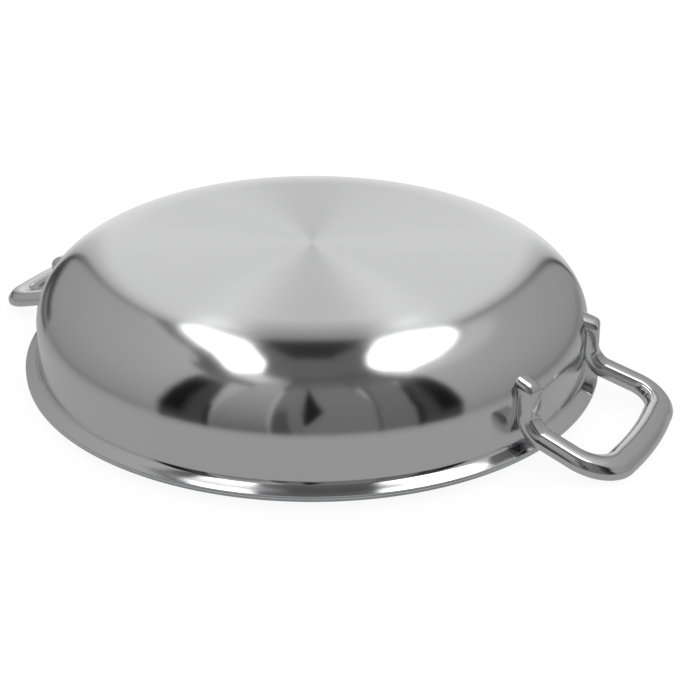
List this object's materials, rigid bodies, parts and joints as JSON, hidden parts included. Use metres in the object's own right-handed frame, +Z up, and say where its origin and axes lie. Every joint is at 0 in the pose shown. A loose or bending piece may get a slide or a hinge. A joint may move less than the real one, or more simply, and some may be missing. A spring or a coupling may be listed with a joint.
{
  "type": "frying pan",
  "caption": "Round frying pan with a flat base, curved walls, a flared pouring rim and opposite cast loop handles, lying base up.",
  "frame": {"origin": "on the surface that the pan lies on, in the middle of the pan, level with the undersides of the handle grips", "axes": "+Z up, from the open side to the base, because the pan lies base up as pictured; the handles point 31.6 degrees below +X and opposite"},
  "size_m": [0.3278, 0.28, 0.0594],
  "materials": {
    "polished_stainless": "polished wall and rim, finely turned base",
    "aluminium": "plain, seen only at the trimmed rim",
    "satin_stainless": "satin",
    "cast_stainless": "polished casting"
  },
  "bodies": {
    "root": {"outer_skin": "polished_stainless", "aluminium_core": "aluminium", "inner_skin": "satin_stainless", "handle_right": "cast_stainless", "handle_left": "cast_stainless"}
  },
  "joints": []
}
